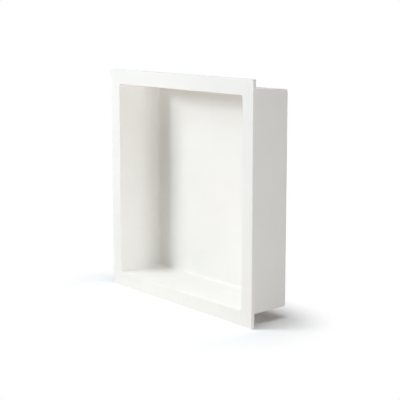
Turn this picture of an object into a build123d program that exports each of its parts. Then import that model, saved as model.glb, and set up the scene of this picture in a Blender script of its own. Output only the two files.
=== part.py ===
"""Square shower niche insert: an open tray with a flat face flange, cast as one piece.

Sizes are in millimetres. The origin is the centre of the flange's back face, which lies on the
finished wall. Seen from the room, +X is to the right, +Y goes into the wall and +Z is up.
"""
import os
from math import radians, tan

from build123d import *

# Draft of every wall, which narrows tray and recess towards the back so that the casting leaves its mould
draft_angle = 2.0

# Recess, as seen from the room
opening_width = 300.0
opening_height = 300.0
recess_depth = 73.0  # flange front to back wall
recess_corner_radius = 4.5  # where walls meet each other and the back wall
opening_edge_radius = 1.0  # eased edge between flange front and recess walls

# Tray around the recess
wall_thickness = 8.0
back_thickness = 6.0
tray_edge_radius = 3.0

# Face flange
flange_border = 22.5  # opening edge to flange edge
flange_thickness = 5.0
flange_edge_radius = 0.8

# Derived sizes
flange_width = opening_width + 2 * flange_border
flange_height = opening_height + 2 * flange_border
tray_step = wall_thickness - flange_thickness * tan(radians(draft_angle))  # opening edge to tray, at the wall
tray_width = opening_width + 2 * tray_step
tray_height = opening_height + 2 * tray_step
recess_back = recess_depth - flange_thickness  # back wall's face, measured from the wall plane
tray_back = recess_back + back_thickness

# The wall plane faces the room, so positive extrusions come forward and negative ones go into the wall
wall_plane = Plane.XZ
front_plane = wall_plane.offset(flange_thickness)

with BuildPart() as niche_insert:
    # Tray block, rounded on every edge behind the wall plane
    with BuildSketch(wall_plane):
        Rectangle(tray_width, tray_height)
    extrude(amount=-tray_back, taper=draft_angle)
    tray_edges = niche_insert.edges().filter_by_position(Axis.Y, 0, tray_back, inclusive=(False, True))
    fillet(tray_edges, tray_edge_radius)

    # Flange plate, eased on its corners and front edges, sharp where it meets the wall
    with BuildSketch(wall_plane):
        Rectangle(flange_width, flange_height)
    extrude(amount=flange_thickness)
    rim_edges = niche_insert.edges().filter_by_position(
        Axis.Y, -flange_thickness, 0, inclusive=(True, False)
    )
    fillet(rim_edges, flange_edge_radius)

    # Recess, its corner edges and back edges blended in one go into ball corners
    with BuildSketch(front_plane):
        Rectangle(opening_width, opening_height)
    extrude(amount=-recess_depth, taper=draft_angle, mode=Mode.SUBTRACT)
    recess_edges = niche_insert.edges(Select.LAST).filter_by_position(
        Axis.Y, -flange_thickness, recess_back, inclusive=(False, True)
    )
    fillet(recess_edges, recess_corner_radius)

    # Eased mouth of the recess
    flange_front = niche_insert.faces().sort_by(Axis.Y)[0]
    fillet(flange_front.inner_wires()[0].edges(), opening_edge_radius)

niche_insert.part.label = "niche_insert"

os.makedirs("parts", exist_ok=True)
export_step(niche_insert.part, "parts/niche_insert.step")
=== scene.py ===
"""Portrait of the shower niche insert: its cast skin and finish, and the studio around it.

Sizes are in metres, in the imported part's own frame: +X to the right as seen from the room,
+Y into the wall and +Z up, with the origin in the plane of the finished wall.
"""

import logging
import math
from dataclasses import dataclass
from enum import Enum
from typing import Mapping, NamedTuple, Optional, Sequence, Union

import bpy
from mathutils import Matrix, Vector


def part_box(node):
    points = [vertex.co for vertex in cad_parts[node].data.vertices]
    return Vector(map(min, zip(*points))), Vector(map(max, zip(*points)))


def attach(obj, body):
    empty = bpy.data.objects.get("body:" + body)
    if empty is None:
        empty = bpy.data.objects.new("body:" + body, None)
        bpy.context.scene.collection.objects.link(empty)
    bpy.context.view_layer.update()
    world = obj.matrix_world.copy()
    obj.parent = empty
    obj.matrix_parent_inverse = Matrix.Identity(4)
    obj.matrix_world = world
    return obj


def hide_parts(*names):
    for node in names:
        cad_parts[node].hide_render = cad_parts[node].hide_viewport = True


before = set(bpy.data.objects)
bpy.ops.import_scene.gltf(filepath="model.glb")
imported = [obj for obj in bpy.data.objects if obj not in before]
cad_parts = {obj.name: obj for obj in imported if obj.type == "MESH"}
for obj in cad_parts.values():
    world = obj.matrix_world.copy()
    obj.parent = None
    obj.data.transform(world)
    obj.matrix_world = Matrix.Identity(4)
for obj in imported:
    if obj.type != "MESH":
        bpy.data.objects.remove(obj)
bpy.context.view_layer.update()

NICHE_NODE = "niche_insert"
AS_CAST = "as_cast"
CORNER_CENTRE = "corner_centre"
RIGHT_ANGLE = math.pi / 2
SQUARE_CORNERS = 4
IMAGE_SIZE = 400
SENSOR_WIDTH = 36.0

Colour = tuple[float, float, float]
Point = tuple[float, float, float]
SocketKey = Union[int, str]

WHITE: Colour = (1.0, 1.0, 1.0)
KEY_TINT: Colour = (0.895, 0.958, 1.0)
NICHE_MIDDLE: Point = (0.0, 0.0, 0.0)

log = logging.getLogger("niche")


class Ray(Enum):
    """Kinds of ray, by Blender's name of their Light Path output."""

    CAMERA = "Is Camera Ray"
    GLOSSY = "Is Glossy Ray"
    TRANSMISSION = "Is Transmission Ray"


class TreeWriter:
    """Adds nodes to one node tree and links them.

    A node's inputs are given by name or place, each as a plain value or as another node's socket.
    """

    def __init__(self, tree: bpy.types.NodeTree) -> None:
        """Starts on an existing tree."""
        self.tree = tree

    def node(
        self, kind: str, inputs: Optional[Mapping[SocketKey, object]] = None, **settings: object
    ) -> bpy.types.Node:
        """Adds one node.

        Args:
            kind: Blender's type name of the node.
            inputs: What goes into its sockets.
            settings: The node's own properties.

        Returns:
            The new node.
        """
        made = self.tree.nodes.new(kind)
        for name, value in settings.items():
            setattr(made, name, value)
        for key, value in (inputs or {}).items():
            self.feed(made.inputs[key], value)
        return made

    def feed(self, socket: bpy.types.NodeSocket, value: object) -> None:
        """Links a socket to another, or sets its plain value.

        Args:
            socket: The input that is fed.
            value: A socket to link from, or a value.
        """
        if isinstance(value, bpy.types.NodeSocket):
            self.tree.links.new(value, socket)
        else:
            socket.default_value = value

    def math(self, operation: str, first: object, second: object = 0.0) -> bpy.types.NodeSocket:
        """Adds a sum on one or two plain numbers, by Blender's name of it."""
        return self.node("ShaderNodeMath", {0: first, 1: second}, operation=operation).outputs[0]

    def whole(self, operation: str, first: object, second: object) -> bpy.types.NodeSocket:
        """Adds a sum on two whole numbers, by Blender's name of it."""
        return self.node("FunctionNodeIntegerMath", {0: first, 1: second}, operation=operation).outputs[0]

    def vector_math(self, operation: str, *values: object) -> bpy.types.NodeSocket:
        """Adds a sum on vectors, by Blender's name of it."""
        return self.node("ShaderNodeVectorMath", dict(enumerate(values)), operation=operation).outputs[0]

    def vector(self, x: object, y: object, z: object = 0.0) -> bpy.types.NodeSocket:
        """Joins three numbers into a vector."""
        return self.node("ShaderNodeCombineXYZ", {0: x, 1: y, 2: z}).outputs[0]

    def by_index(
        self, index: bpy.types.NodeSocket, values: Sequence[object], data_type: str
    ) -> bpy.types.NodeSocket:
        """Picks one of several values by a whole number.

        Args:
            index: The number that picks.
            values: What it picks from.
            data_type: Blender's name of the values' type.

        Returns:
            The picked value's socket.
        """
        switch = self.node("GeometryNodeIndexSwitch", {"Index": index}, data_type=data_type)
        while len(switch.index_switch_items) < len(values):
            switch.index_switch_items.new()
        for place, value in enumerate(values):
            self.feed(switch.inputs[1 + place], value)
        return switch.outputs[0]

    def by_share(
        self, share: bpy.types.NodeSocket, first: Colour, second: Colour
    ) -> bpy.types.NodeSocket:
        """Mixes two colours.

        Args:
            share: How far the second colour takes the place of the first.
            first: The colour at a share of 0.
            second: The colour at a share of 1.

        Returns:
            The mixed colour's socket.
        """
        mix = self.node("ShaderNodeMix", {"Factor": share}, data_type="RGBA")
        colours = [socket for socket in mix.inputs if socket.type == "RGBA"]
        for socket, colour in zip(colours, (first, second)):
            self.feed(socket, (*colour, 1.0))
        return next(socket for socket in mix.outputs if socket.type == "RGBA")

    def seen_by(self, *rays: Ray) -> bpy.types.NodeSocket:
        """Asks whether a surface is met by one of some kinds of ray.

        Args:
            rays: The kinds of ray.

        Returns:
            The answer's socket: 1 where it is, 0 where it isn't.
        """
        path = self.node("ShaderNodeLightPath").outputs
        answer = path[rays[0].value]
        for ray in rays[1:]:
            answer = self.math("MAXIMUM", answer, path[ray.value])
        return answer

    def kept(
        self, geometry: bpy.types.NodeSocket, name: str, value: object
    ) -> bpy.types.NodeSocket:
        """Keeps a named number on every point of a shape."""
        return self.node(
            "GeometryNodeStoreNamedAttribute", {"Geometry": geometry, "Name": name, "Value": value}
        ).outputs[0]


@dataclass(frozen=True)
class CastFinish:
    """Satin-matt warm white of a cast mineral-filled resin, coloured right through.

    Slow clouding and fine mineral grains shift the white a little. The tray's outside, which a wall hides,
    is left as cast, so it is duller than the faces in view.

    Attributes:
        dark_tone: The white where the clouding is darkest.
        light_tone: The white where it is lightest.
        cloud_size: The width of one cloud.
        grain_size: The width of one mineral grain.
        grain_share: How far a grain takes the tone back towards the dark one.
        smoothest: The least roughness of the faces in view.
        roughest: Their greatest roughness.
        as_cast_dulling: How much rougher the tray's outside is.
        ripple_size: The width of one ripple of the cast surface.
        ripple_height: The height of the ripples.
        noise_detail: The detail of every layer of noise.
        noise_span: The part of the noise's range that is spread over 0 to 1.
    """

    dark_tone: Colour = (0.914, 0.897, 0.861)
    light_tone: Colour = (0.936, 0.920, 0.886)
    cloud_size: float = 0.05
    grain_size: float = 0.0014
    grain_share: float = 0.35
    smoothest: float = 0.48
    roughest: float = 0.56
    as_cast_dulling: float = 0.14
    ripple_size: float = 0.004
    ripple_height: float = 8e-6
    noise_detail: float = 3.0
    noise_span: tuple[float, float] = (0.3, 0.7)

    def noise(
        self, write: TreeWriter, place: bpy.types.NodeSocket, size: float
    ) -> bpy.types.NodeSocket:
        """Adds one layer of noise.

        Args:
            write: The material's writer.
            place: Where on the piece the noise is read.
            size: The width of one blotch.

        Returns:
            The noise, spread over 0 to 1.
        """
        layer = write.node(
            "ShaderNodeTexNoise", {"Vector": place, "Scale": 1.0 / size, "Detail": self.noise_detail}
        )
        low, high = self.noise_span
        spread = write.node(
            "ShaderNodeMapRange", {"Value": layer.outputs[0], "From Min": low, "From Max": high}
        )
        return spread.outputs[0]

    def material(self) -> bpy.types.Material:
        """Writes the finish as a material.

        Returns:
            The material.
        """
        made = bpy.data.materials.new("cast_white")
        made.use_nodes = True
        write = TreeWriter(made.node_tree)
        place = write.node("ShaderNodeTexCoord").outputs["Object"]
        cloud = self.noise(write, place, self.cloud_size)
        grain = self.noise(write, place, self.grain_size)
        ripple = self.noise(write, place, self.ripple_size)

        grainy = write.math("MULTIPLY", cloud, 1.0 - self.grain_share)
        mottle = write.node("ShaderNodeMapRange", {"Value": grain, "To Min": grainy, "To Max": cloud})
        tone = write.node("ShaderNodeValToRGB", {"Fac": mottle.outputs[0]})
        for stop, colour in zip(tone.color_ramp.elements, (self.dark_tone, self.light_tone)):
            stop.color = (*colour, 1.0)

        satin = write.node(
            "ShaderNodeMapRange", {"Value": cloud, "To Min": self.smoothest, "To Max": self.roughest}
        )
        as_cast = write.node("ShaderNodeAttribute", attribute_name=AS_CAST).outputs["Fac"]
        dulling = write.math("MULTIPLY", as_cast, self.as_cast_dulling)
        relief = write.node("ShaderNodeBump", {"Height": ripple, "Distance": self.ripple_height})

        shader = made.node_tree.nodes["Principled BSDF"]
        write.feed(shader.inputs["Base Color"], tone.outputs["Color"])
        write.feed(shader.inputs["Roughness"], write.math("ADD", satin.outputs[0], dulling))
        write.feed(shader.inputs["Normal"], relief.outputs[0])
        return made


class Corner(NamedTuple):
    """One corner of the niche's section.

    Attributes:
        across: The distance outwards from the opening's edge.
        depth: The distance into the wall.
        radius: The rounding of the section here.
        centre: The distance outwards at which the swept corners have their centres.
        as_cast: How far the surface is left as cast, from 0 to 1.
    """

    across: object
    depth: object
    radius: object
    centre: object
    as_cast: float


@dataclass(frozen=True)
class NicheShell:
    """The cast niche: recess, face flange and tray as one closed skin.

    The skin is one section swept round the square opening. Along the section every place has a distance
    outwards from the opening's edge, a depth, and the distance at which its corners have their centres.

    Attributes:
        flange_border: How far the flange reaches past the opening.
        flange_thickness: The flange's thickness.
        flange_edge_radius: The easing of the flange's front edge.
        wall_thickness: The thickness of the tray's walls.
        back_thickness: The thickness of the back wall.
        recess_corner_radius: The rounding inside the recess.
        mouth_edge_radius: The easing of the opening's edge.
        tray_edge_radius: The rounding of the tray's edges.
        draft: How far the walls lean in towards the back.
        arc_cuts: How many faces make up a rounding.
        side_cuts: How many faces make up a straight side.
        weld_distance: How close points are that become one.
        sharp_angle: The angle from which an edge is shaded sharp.
    """

    flange_border: float = 0.0225
    flange_thickness: float = 0.005
    flange_edge_radius: float = 0.0008
    wall_thickness: float = 0.008
    back_thickness: float = 0.006
    recess_corner_radius: float = 0.0045
    mouth_edge_radius: float = 0.001
    tray_edge_radius: float = 0.003
    draft: float = math.radians(2.0)
    arc_cuts: int = 8
    side_cuts: int = 12
    weld_distance: float = 1e-5
    sharp_angle: float = math.radians(50.0)

    def sizes(self) -> dict[str, float]:
        """Works out the tree's named sizes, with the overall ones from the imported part.

        Returns:
            Each size by its name.
        """
        low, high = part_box(NICHE_NODE)
        extent = high - low
        return {
            "Opening Width": extent.x - 2 * self.flange_border,
            "Opening Height": extent.z - 2 * self.flange_border,
            "Recess Back": high.y - self.back_thickness,
            "Tray Back": high.y,
            "Flange Front": low.y,
            "Flange Back": low.y + self.flange_thickness,
            "Flange Border": self.flange_border,
            "Flange Edge Radius": self.flange_edge_radius,
            "Wall Thickness": self.wall_thickness,
            "Recess Corner Radius": self.recess_corner_radius,
            "Mouth Edge Radius": self.mouth_edge_radius,
            "Tray Edge Radius": self.tray_edge_radius,
            "Draft": self.draft,
        }

    def tree(self) -> bpy.types.NodeTree:
        """Builds the tree that makes the skin.

        Returns:
            The tree, with named inputs for sizes, cuts and the finish.
        """
        tree = bpy.data.node_groups.new("niche_skin", "GeometryNodeTree")
        for name in self.sizes():
            tree.interface.new_socket(name=name, in_out="INPUT", socket_type="NodeSocketFloat")
        for name in ("Arc Cuts", "Side Cuts"):
            tree.interface.new_socket(name=name, in_out="INPUT", socket_type="NodeSocketInt")
        tree.interface.new_socket(name="Finish", in_out="INPUT", socket_type="NodeSocketMaterial")
        tree.interface.new_socket(name="Skin", in_out="OUTPUT", socket_type="NodeSocketGeometry")
        write = TreeWriter(tree)
        given = write.node("NodeGroupInput").outputs
        corners = self.corners(write, given)
        section = self.section(write, given, corners)
        caps = (
            self.cap(write, given, corners[0], RIGHT_ANGLE),
            self.cap(write, given, corners[-1], -RIGHT_ANGLE),
        )
        joined = write.node("GeometryNodeJoinGeometry")
        for part in (self.sweep(write, given, section), *caps):
            tree.links.new(part, joined.inputs[0])
        welded = write.node(
            "GeometryNodeMergeByDistance", {"Geometry": joined.outputs[0], "Distance": self.weld_distance}
        )
        angle = write.node("GeometryNodeInputMeshEdgeAngle").outputs["Unsigned Angle"]
        sharp = write.math("GREATER_THAN", angle, self.sharp_angle)
        edged = write.node(
            "GeometryNodeSetShadeSmooth",
            {"Geometry": welded.outputs[0], "Selection": sharp, "Shade Smooth": False},
            domain="EDGE",
        )
        realized = write.node("GeometryNodeRealizeInstances", {"Geometry": edged.outputs[0]})
        dressed = write.node(
            "GeometryNodeSetMaterial", {"Geometry": realized.outputs[0], "Material": given["Finish"]}
        )
        write.node("NodeGroupOutput", {"Skin": dressed.outputs[0]})
        return tree

    def corners(self, write: TreeWriter, given: bpy.types.NodeOutputs) -> tuple[Corner, ...]:
        """Works out the section's corners, from the recess's back wall over the flange to the tray's back.

        Args:
            write: The tree's writer.
            given: The tree's inputs.

        Returns:
            The corners. The first and the last are where the two flat backs end.
        """
        front, back = given["Flange Front"], given["Flange Back"]
        border, wall = given["Flange Border"], given["Wall Thickness"]
        recess_radius, tray_radius = given["Recess Corner Radius"], given["Tray Edge Radius"]
        slope = write.math("TANGENT", given["Draft"])
        lean = write.math("MULTIPLY", given["Draft"], 0.5)
        blend = write.math("TANGENT", write.math("SUBTRACT", RIGHT_ANGLE / 2, lean))

        def wall_at(across: object, depth: bpy.types.NodeSocket) -> bpy.types.NodeSocket:
            """Follows a drafted wall from where it lies at the flange's front to a depth."""
            way = write.math("SUBTRACT", depth, front)
            return write.math("SUBTRACT", across, write.math("MULTIPLY", slope, way))

        recess_foot = wall_at(0.0, given["Recess Back"])
        recess_flat = write.math("SUBTRACT", recess_foot, write.math("MULTIPLY", recess_radius, blend))
        mouth_centre = write.math("MULTIPLY", recess_radius, -1.0)
        flange_centre = write.math("SUBTRACT", border, given["Flange Edge Radius"])
        tray_head, tray_foot = wall_at(wall, back), wall_at(wall, given["Tray Back"])
        tray_centre = write.math("SUBTRACT", tray_head, tray_radius)
        tray_flat = write.math("SUBTRACT", tray_foot, write.math("MULTIPLY", tray_radius, blend))
        return (
            Corner(recess_flat, given["Recess Back"], 0.0, recess_flat, 0.0),
            Corner(recess_foot, given["Recess Back"], recess_radius, recess_flat, 0.0),
            Corner(0.0, front, given["Mouth Edge Radius"], mouth_centre, 0.0),
            Corner(border, front, given["Flange Edge Radius"], flange_centre, 0.0),
            Corner(border, back, 0.0, flange_centre, 0.0),
            Corner(tray_head, back, 0.0, tray_centre, 1.0),
            Corner(tray_foot, given["Tray Back"], tray_radius, tray_flat, 1.0),
            Corner(tray_flat, given["Tray Back"], 0.0, tray_flat, 1.0),
        )

    def section(
        self, write: TreeWriter, given: bpy.types.NodeOutputs, corners: Sequence[Corner]
    ) -> bpy.types.NodeSocket:
        """Draws the section as a line with rounded corners.

        Its X is the distance outwards from the opening's edge and its Y is the depth.

        Args:
            write: The tree's writer.
            given: The tree's inputs.
            corners: The section's corners.

        Returns:
            The section's curve, with its corners' centres and its as-cast share kept on its points.
        """
        index = write.node("GeometryNodeInputIndex").outputs[0]
        places = [write.vector(corner.across, corner.depth) for corner in corners]
        line = write.node("GeometryNodeMeshLine", {"Count": len(corners)})
        curve = write.node("GeometryNodeMeshToCurve", {"Mesh": line.outputs[0]})
        placed = write.node(
            "GeometryNodeSetPosition",
            {"Geometry": curve.outputs[0], "Position": write.by_index(index, places, "VECTOR")},
        )
        centres = write.by_index(index, [corner.centre for corner in corners], "FLOAT")
        as_cast = write.by_index(index, [corner.as_cast for corner in corners], "FLOAT")
        noted = write.kept(write.kept(placed.outputs[0], CORNER_CENTRE, centres), AS_CAST, as_cast)
        rounded = write.node(
            "GeometryNodeFilletCurve",
            {
                "Curve": noted,
                "Count": given["Arc Cuts"],
                "Radius": write.by_index(index, [corner.radius for corner in corners], "FLOAT"),
                "Limit Radius": True,
            },
            mode="POLY",
        )
        return rounded.outputs[0]

    def sweep(
        self, write: TreeWriter, given: bpy.types.NodeOutputs, section: bpy.types.NodeSocket
    ) -> bpy.types.NodeSocket:
        """Carries the section round the opening: four corner arcs and four straight runs.

        Args:
            write: The tree's writer.
            given: The tree's inputs.
            section: The section's curve.

        Returns:
            The swept skin, open at both backs.
        """
        count = write.node("GeometryNodeAttributeDomainSize", {0: section}, component="CURVE")
        stretch = write.whole("ADD", given["Arc Cuts"], given["Side Cuts"])
        ring = write.whole("ADD", write.whole("MULTIPLY", stretch, SQUARE_CORNERS), 1)
        grid = write.node(
            "GeometryNodeMeshGrid", {"Vertices X": count.outputs["Point Count"], "Vertices Y": ring}
        )
        index = write.node("GeometryNodeInputIndex").outputs[0]
        station = write.whole("DIVIDE_FLOOR", index, ring)
        step = write.whole("MODULO", index, ring)
        quarter = write.whole("DIVIDE_FLOOR", step, stretch)
        along = write.whole("MODULO", step, stretch)

        # Each quarter turns through its corner first, then runs straight to the next corner
        turned = write.math("MINIMUM", write.math("DIVIDE", along, given["Arc Cuts"]), 1.0)
        past = write.math("DIVIDE", write.whole("SUBTRACT", along, given["Arc Cuts"]), given["Side Cuts"])
        run = write.math("MAXIMUM", past, 0.0)
        heading = write.math("MULTIPLY", write.math("ADD", quarter, turned), RIGHT_ANGLE)
        here = write.math("MULTIPLY", write.math("ADD", quarter, 0.5), RIGHT_ANGLE)
        ahead = write.math("ADD", here, RIGHT_ANGLE)

        def at_station(value: bpy.types.NodeSocket, data_type: str = "FLOAT") -> bpy.types.NodeSocket:
            """Reads a value of the section at this point's station."""
            inputs = {0: section, "Value": value, "Index": station}
            return write.node("GeometryNodeSampleIndex", inputs, data_type=data_type).outputs[0]

        place = at_station(write.node("GeometryNodeInputPosition").outputs[0], "FLOAT_VECTOR")
        centre, as_cast = (
            at_station(write.node("GeometryNodeInputNamedAttribute", {"Name": name}).outputs[0])
            for name in (CORNER_CENTRE, AS_CAST)
        )
        across, depth, _ = write.node("ShaderNodeSeparateXYZ", {0: place}).outputs
        radius = write.math("SUBTRACT", across, centre)

        def spread(wave: str, size: bpy.types.NodeSocket) -> bpy.types.NodeSocket:
            """Places the ring along one of its two directions.

            Args:
                wave: COSINE for the width, SINE for the height.
                size: The opening's size in that direction.

            Returns:
                The coordinate's socket.
            """
            reach = write.math("ADD", write.math("MULTIPLY", size, 0.5), centre)
            start = write.math("SIGN", write.math(wave, here))
            end = write.math("SIGN", write.math(wave, ahead))
            side = write.math("ADD", start, write.math("MULTIPLY", run, write.math("SUBTRACT", end, start)))
            bulge = write.math("MULTIPLY", radius, write.math(wave, heading))
            return write.math("ADD", write.math("MULTIPLY", side, reach), bulge)

        position = write.vector(
            spread("COSINE", given["Opening Width"]), depth, spread("SINE", given["Opening Height"])
        )
        noted = write.kept(grid.outputs[0], AS_CAST, as_cast)
        swept = write.node("GeometryNodeSetPosition", {"Geometry": noted, "Position": position})
        return swept.outputs[0]

    def cap(
        self, write: TreeWriter, given: bpy.types.NodeOutputs, edge: Corner, tilt: float
    ) -> bpy.types.NodeSocket:
        """Closes one end of the swept skin with a flat grid.

        Args:
            write: The tree's writer.
            given: The tree's inputs.
            edge: The section's end, where the flat back begins.
            tilt: How the grid is turned about X to face outwards.

        Returns:
            The cap.
        """
        lines = write.whole("ADD", given["Side Cuts"], 1)
        margin = write.math("MULTIPLY", edge.across, 2.0)
        grid = write.node(
            "GeometryNodeMeshGrid",
            {
                "Size X": write.math("ADD", given["Opening Width"], margin),
                "Size Y": write.math("ADD", given["Opening Height"], margin),
                "Vertices X": lines,
                "Vertices Y": lines,
            },
        )
        stood = write.node(
            "GeometryNodeTransform",
            {
                "Geometry": grid.outputs[0],
                "Translation": write.vector(0.0, edge.depth),
                "Rotation": (tilt, 0.0, 0.0),
            },
        )
        return write.kept(stood.outputs[0], AS_CAST, edge.as_cast)

    def build(self, finish: bpy.types.Material) -> bpy.types.Object:
        """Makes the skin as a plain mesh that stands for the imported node.

        Args:
            finish: The material that it wears.

        Returns:
            The finished piece.
        """
        shell = bpy.data.objects.new("niche_shell", bpy.data.meshes.new("niche_shell"))
        bpy.context.scene.collection.objects.link(shell)
        skin = shell.modifiers.new("skin", "NODES")
        skin.node_group = self.tree()
        values = {
            **self.sizes(),
            "Arc Cuts": self.arc_cuts,
            "Side Cuts": self.side_cuts,
            "Finish": finish,
        }
        for item in skin.node_group.interface.items_tree:
            if item.in_out == "INPUT":
                skin[item.identifier] = values[item.name]
        flats = shell.modifiers.new("flats", "WEIGHTED_NORMAL")
        flats.keep_sharp = True
        depsgraph = bpy.context.evaluated_depsgraph_get()
        mesh = bpy.data.meshes.new_from_object(shell.evaluated_get(depsgraph), depsgraph=depsgraph)
        mesh.name = "niche_shell_mesh"
        shell.modifiers.clear()
        shell.data = mesh
        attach(shell, "root")
        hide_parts(NICHE_NODE)
        return shell


@dataclass(frozen=True)
class PortraitCamera:
    """The photograph's own view: from the right of the opening, a little above its middle.

    Attributes:
        place: Where the camera stands.
        heading_deg: How far it is turned to the left from looking straight into the wall.
        pitch_deg: How far it looks down.
        focal_pixels: Its focal length, in pixels of the photograph.
    """

    place: Point = (1.3367, -0.9902, 0.2635)
    heading_deg: float = 52.428
    pitch_deg: float = 9.465
    focal_pixels: float = 1138.4

    def build(self) -> bpy.types.Object:
        """Sets up the camera and makes it the scene's own.

        Returns:
            The camera.
        """
        data = bpy.data.cameras.new("portrait_camera")
        data.sensor_width = SENSOR_WIDTH
        data.lens = self.focal_pixels / IMAGE_SIZE * SENSOR_WIDTH
        camera = bpy.data.objects.new("portrait_camera", data)
        turn = Matrix.Rotation(math.radians(self.heading_deg), 4, "Z")
        tilt = Matrix.Rotation(RIGHT_ANGLE - math.radians(self.pitch_deg), 4, "X")
        camera.matrix_world = Matrix.Translation(self.place) @ turn @ tilt
        bpy.context.scene.collection.objects.link(camera)
        bpy.context.scene.camera = camera
        return camera


@dataclass(frozen=True)
class Lamp:
    """A lamp that hangs round a place on the niche and looks at it.

    Attributes:
        name: The lamp's name.
        azimuth_deg: Where it hangs, turned from straight before the opening towards +X.
        elevation_deg: How high it hangs over what it looks at.
        distance: How far it hangs from what it looks at.
        level: How bright it makes a white face that looks straight at it, where 1 is white.
        colour: The tint of its light.
    """

    name: str
    azimuth_deg: float
    elevation_deg: float
    distance: float
    level: float
    colour: Colour

    def hang(self, data: bpy.types.Light, aim: Point) -> bpy.types.Object:
        """Hangs the lamp in its place.

        Args:
            data: The light that it gives, as yet without its tint.
            aim: What it looks at.

        Returns:
            The lamp.
        """
        data.color = self.colour
        azimuth, elevation = math.radians(self.azimuth_deg), math.radians(self.elevation_deg)
        back = Vector((
            math.sin(azimuth) * math.cos(elevation),
            -math.cos(azimuth) * math.cos(elevation),
            math.sin(elevation),
        ))
        lamp = bpy.data.objects.new(self.name, data)
        lamp.location = Vector(aim) + back * self.distance
        lamp.rotation_euler = back.to_track_quat("Z", "Y").to_euler()
        bpy.context.scene.collection.objects.link(lamp)
        return lamp


@dataclass(frozen=True)
class SoftLamp(Lamp):
    """A square soft lamp that looks at the niche's middle.

    Attributes:
        size: The width of its square face.
        off_floor: Whether it is flagged off the floor, so that it lights the niche alone.
    """

    size: float
    off_floor: bool = False

    def build(self, subject: bpy.types.Collection) -> bpy.types.Object:
        """Makes the lamp.

        Args:
            subject: The niche, without the floor.

        Returns:
            The lamp.
        """
        data = bpy.data.lights.new(self.name, "AREA")
        data.shape = "SQUARE"
        data.size = self.size
        # Straight ahead, an area lamp shows a white face at its energy over (pi * distance) squared
        data.energy = self.level * (math.pi * self.distance) ** 2
        lamp = self.hang(data, NICHE_MIDDLE)
        if self.off_floor:
            lamp.light_linking.receiver_collection = subject
        return lamp


@dataclass(frozen=True)
class RecessSpot(Lamp):
    """A spot with a soft beam that goes through the opening and stays off the flange.

    Attributes:
        aim: The place in the opening that it looks at.
        beam_radius: The beam's radius there, at which it has faded out.
        face_radius: The radius of the spot's own face.
    """

    aim: Point
    beam_radius: float
    face_radius: float

    def build(self) -> bpy.types.Object:
        """Makes the spot.

        Returns:
            The lamp.
        """
        data = bpy.data.lights.new(self.name, "SPOT")
        data.shadow_soft_size = self.face_radius
        data.spot_size = 2 * math.atan(self.beam_radius / self.distance)
        data.spot_blend = 1.0
        # A spot shows a white face at its energy over (2 pi * distance) squared
        data.energy = self.level * (2 * math.pi * self.distance) ** 2
        return self.hang(data, self.aim)


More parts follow.
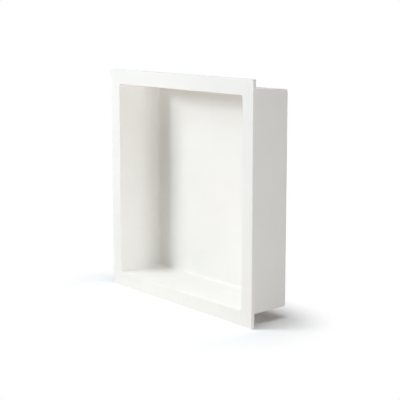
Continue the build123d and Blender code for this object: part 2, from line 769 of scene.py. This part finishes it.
@dataclass(frozen=True)
class Studio:
    """White floor and surroundings, soft lamps, and a spot that goes into the recess.

    To the camera and in reflections the surroundings are plain white. The floor keeps the niche's shadow
    close by, and is plain white from where that has faded out.

    Attributes:
        lamps: The soft lamps, each as name, azimuth, elevation, distance, level, tint and size.
        spot: The spot that goes into the recess.
        floor_size: The width of the square floor.
        floor_bounce: The floor's colour in the light that it gives back to the niche.
        floor_exposure: How bright the floor's own shadow is shown to the camera.
        shadow_half_length: Half the length of the line that the shadow is kept round.
        shadow_fade: The distances from that line at which the shadow begins to fade and has faded out.
    """

    lamps: tuple[SoftLamp, ...] = (
        SoftLamp("key", -30.0, 19.0, 2.6, 0.353, KEY_TINT, 0.5),
        SoftLamp("key_left", -44.0, 26.0, 2.4, 0.225, KEY_TINT, 0.5),
        SoftLamp("key_high", -36.0, 40.0, 3.4, 0.096, KEY_TINT, 0.7),
        SoftLamp("overhead", 20.0, 78.0, 3.0, 0.436, (0.953, 0.979, 1.0), 1.6),
        SoftLamp("side_fill", 79.0, 3.0, 1.8, 0.3, (0.963, 0.977, 1.0), 0.3),
        SoftLamp("rear", -160.0, 6.0, 2.4, 0.5, WHITE, 0.6, off_floor=True),
    )
    spot: RecessSpot = RecessSpot(
        name="recess_spot",
        azimuth_deg=-40.0,
        elevation_deg=20.0,
        distance=2.4,
        level=0.215,
        colour=(1.0, 0.898, 0.919),
        aim=(-0.017, -0.005, 0.01),
        beam_radius=0.13,
        face_radius=0.1,
    )
    floor_size: float = 12.0
    floor_bounce: Colour = (0.95, 0.89, 0.83)
    floor_exposure: float = 1.22
    shadow_half_length: float = 0.12
    shadow_fade: tuple[float, float] = (0.052, 0.155)

    def build(self, niche: bpy.types.Object) -> None:
        """Sets up the whole studio.

        Args:
            niche: The piece that it shows.
        """
        self.world()
        self.floor()
        subject = bpy.data.collections.new("subject")
        subject.objects.link(niche)
        for lamp in self.lamps:
            lamp.build(subject)
        self.spot.build()

    def world(self) -> None:
        """Surrounds the niche with white."""
        world = bpy.data.worlds.new("studio_white")
        world.use_nodes = True
        write = TreeWriter(world.node_tree)
        seen = write.seen_by(Ray.CAMERA, Ray.GLOSSY, Ray.TRANSMISSION)
        background = world.node_tree.nodes["Background"]
        write.feed(background.inputs["Color"], (*WHITE, 1.0))
        write.feed(background.inputs["Strength"], seen)
        bpy.context.scene.world = world

    def floor(self) -> None:
        """Lays the floor under the flange's lower edge."""
        low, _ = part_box(NICHE_NODE)
        half = self.floor_size / 2
        mesh = bpy.data.meshes.new("floor")
        mesh.from_pydata(
            [(-half, -half, low.z), (half, -half, low.z), (half, half, low.z), (-half, half, low.z)],
            [],
            [(0, 1, 2, 3)],
        )
        mesh.materials.append(self.floor_paint(low.z))
        floor = bpy.data.objects.new("floor", mesh)
        bpy.context.scene.collection.objects.link(floor)

    def floor_paint(self, height: float) -> bpy.types.Material:
        """Writes the floor's white, with the shadow kept close to the flange's foot.

        Args:
            height: Where the floor lies.

        Returns:
            The material.
        """
        paint = bpy.data.materials.new("floor_white")
        paint.use_nodes = True
        paint.node_tree.nodes.clear()
        write = TreeWriter(paint.node_tree)
        place = write.node("ShaderNodeTexCoord").outputs["Object"]

        # The shadow is kept round a line under the niche, and fades with the distance from that line
        line_end = (self.shadow_half_length, 0.0, -height)
        beyond = write.vector_math("SUBTRACT", write.vector_math("ABSOLUTE", place), line_end)
        outside = write.vector_math("MAXIMUM", beyond, (0.0, 0.0, 0.0))
        away = write.node("ShaderNodeVectorMath", {0: outside}, operation="LENGTH").outputs["Value"]
        near, far = self.shadow_fade
        faded = write.node(
            "ShaderNodeMapRange",
            {"Value": away, "From Min": near, "From Max": far},
            interpolation_type="SMOOTHSTEP",
        )
        to_camera = write.seen_by(Ray.CAMERA)
        clear = write.math(
            "MAXIMUM",
            write.math("MULTIPLY", to_camera, faded.outputs[0]),
            write.seen_by(Ray.GLOSSY, Ray.TRANSMISSION),
        )
        exposed = (self.floor_exposure,) * 3
        shade = write.by_share(to_camera, self.floor_bounce, exposed)
        lit = write.node("ShaderNodeBsdfDiffuse", {"Color": shade})
        white = write.node("ShaderNodeEmission", {"Color": (*WHITE, 1.0)})
        mixed = write.node("ShaderNodeMixShader", {0: clear, 1: lit.outputs[0], 2: white.outputs[0]})
        write.node("ShaderNodeOutputMaterial", {"Surface": mixed.outputs[0]})
        return paint


def main() -> None:
    """Builds the niche and its studio, in order."""
    logging.basicConfig(level=logging.INFO, format="%(name)s: %(message)s")
    bpy.context.scene.view_settings.view_transform = "Standard"
    niche = NicheShell().build(CastFinish().material())
    log.info("%s: %d faces", niche.name, len(niche.data.polygons))
    Studio().build(niche)
    PortraitCamera().build()


if __name__ == "__main__":
    main()
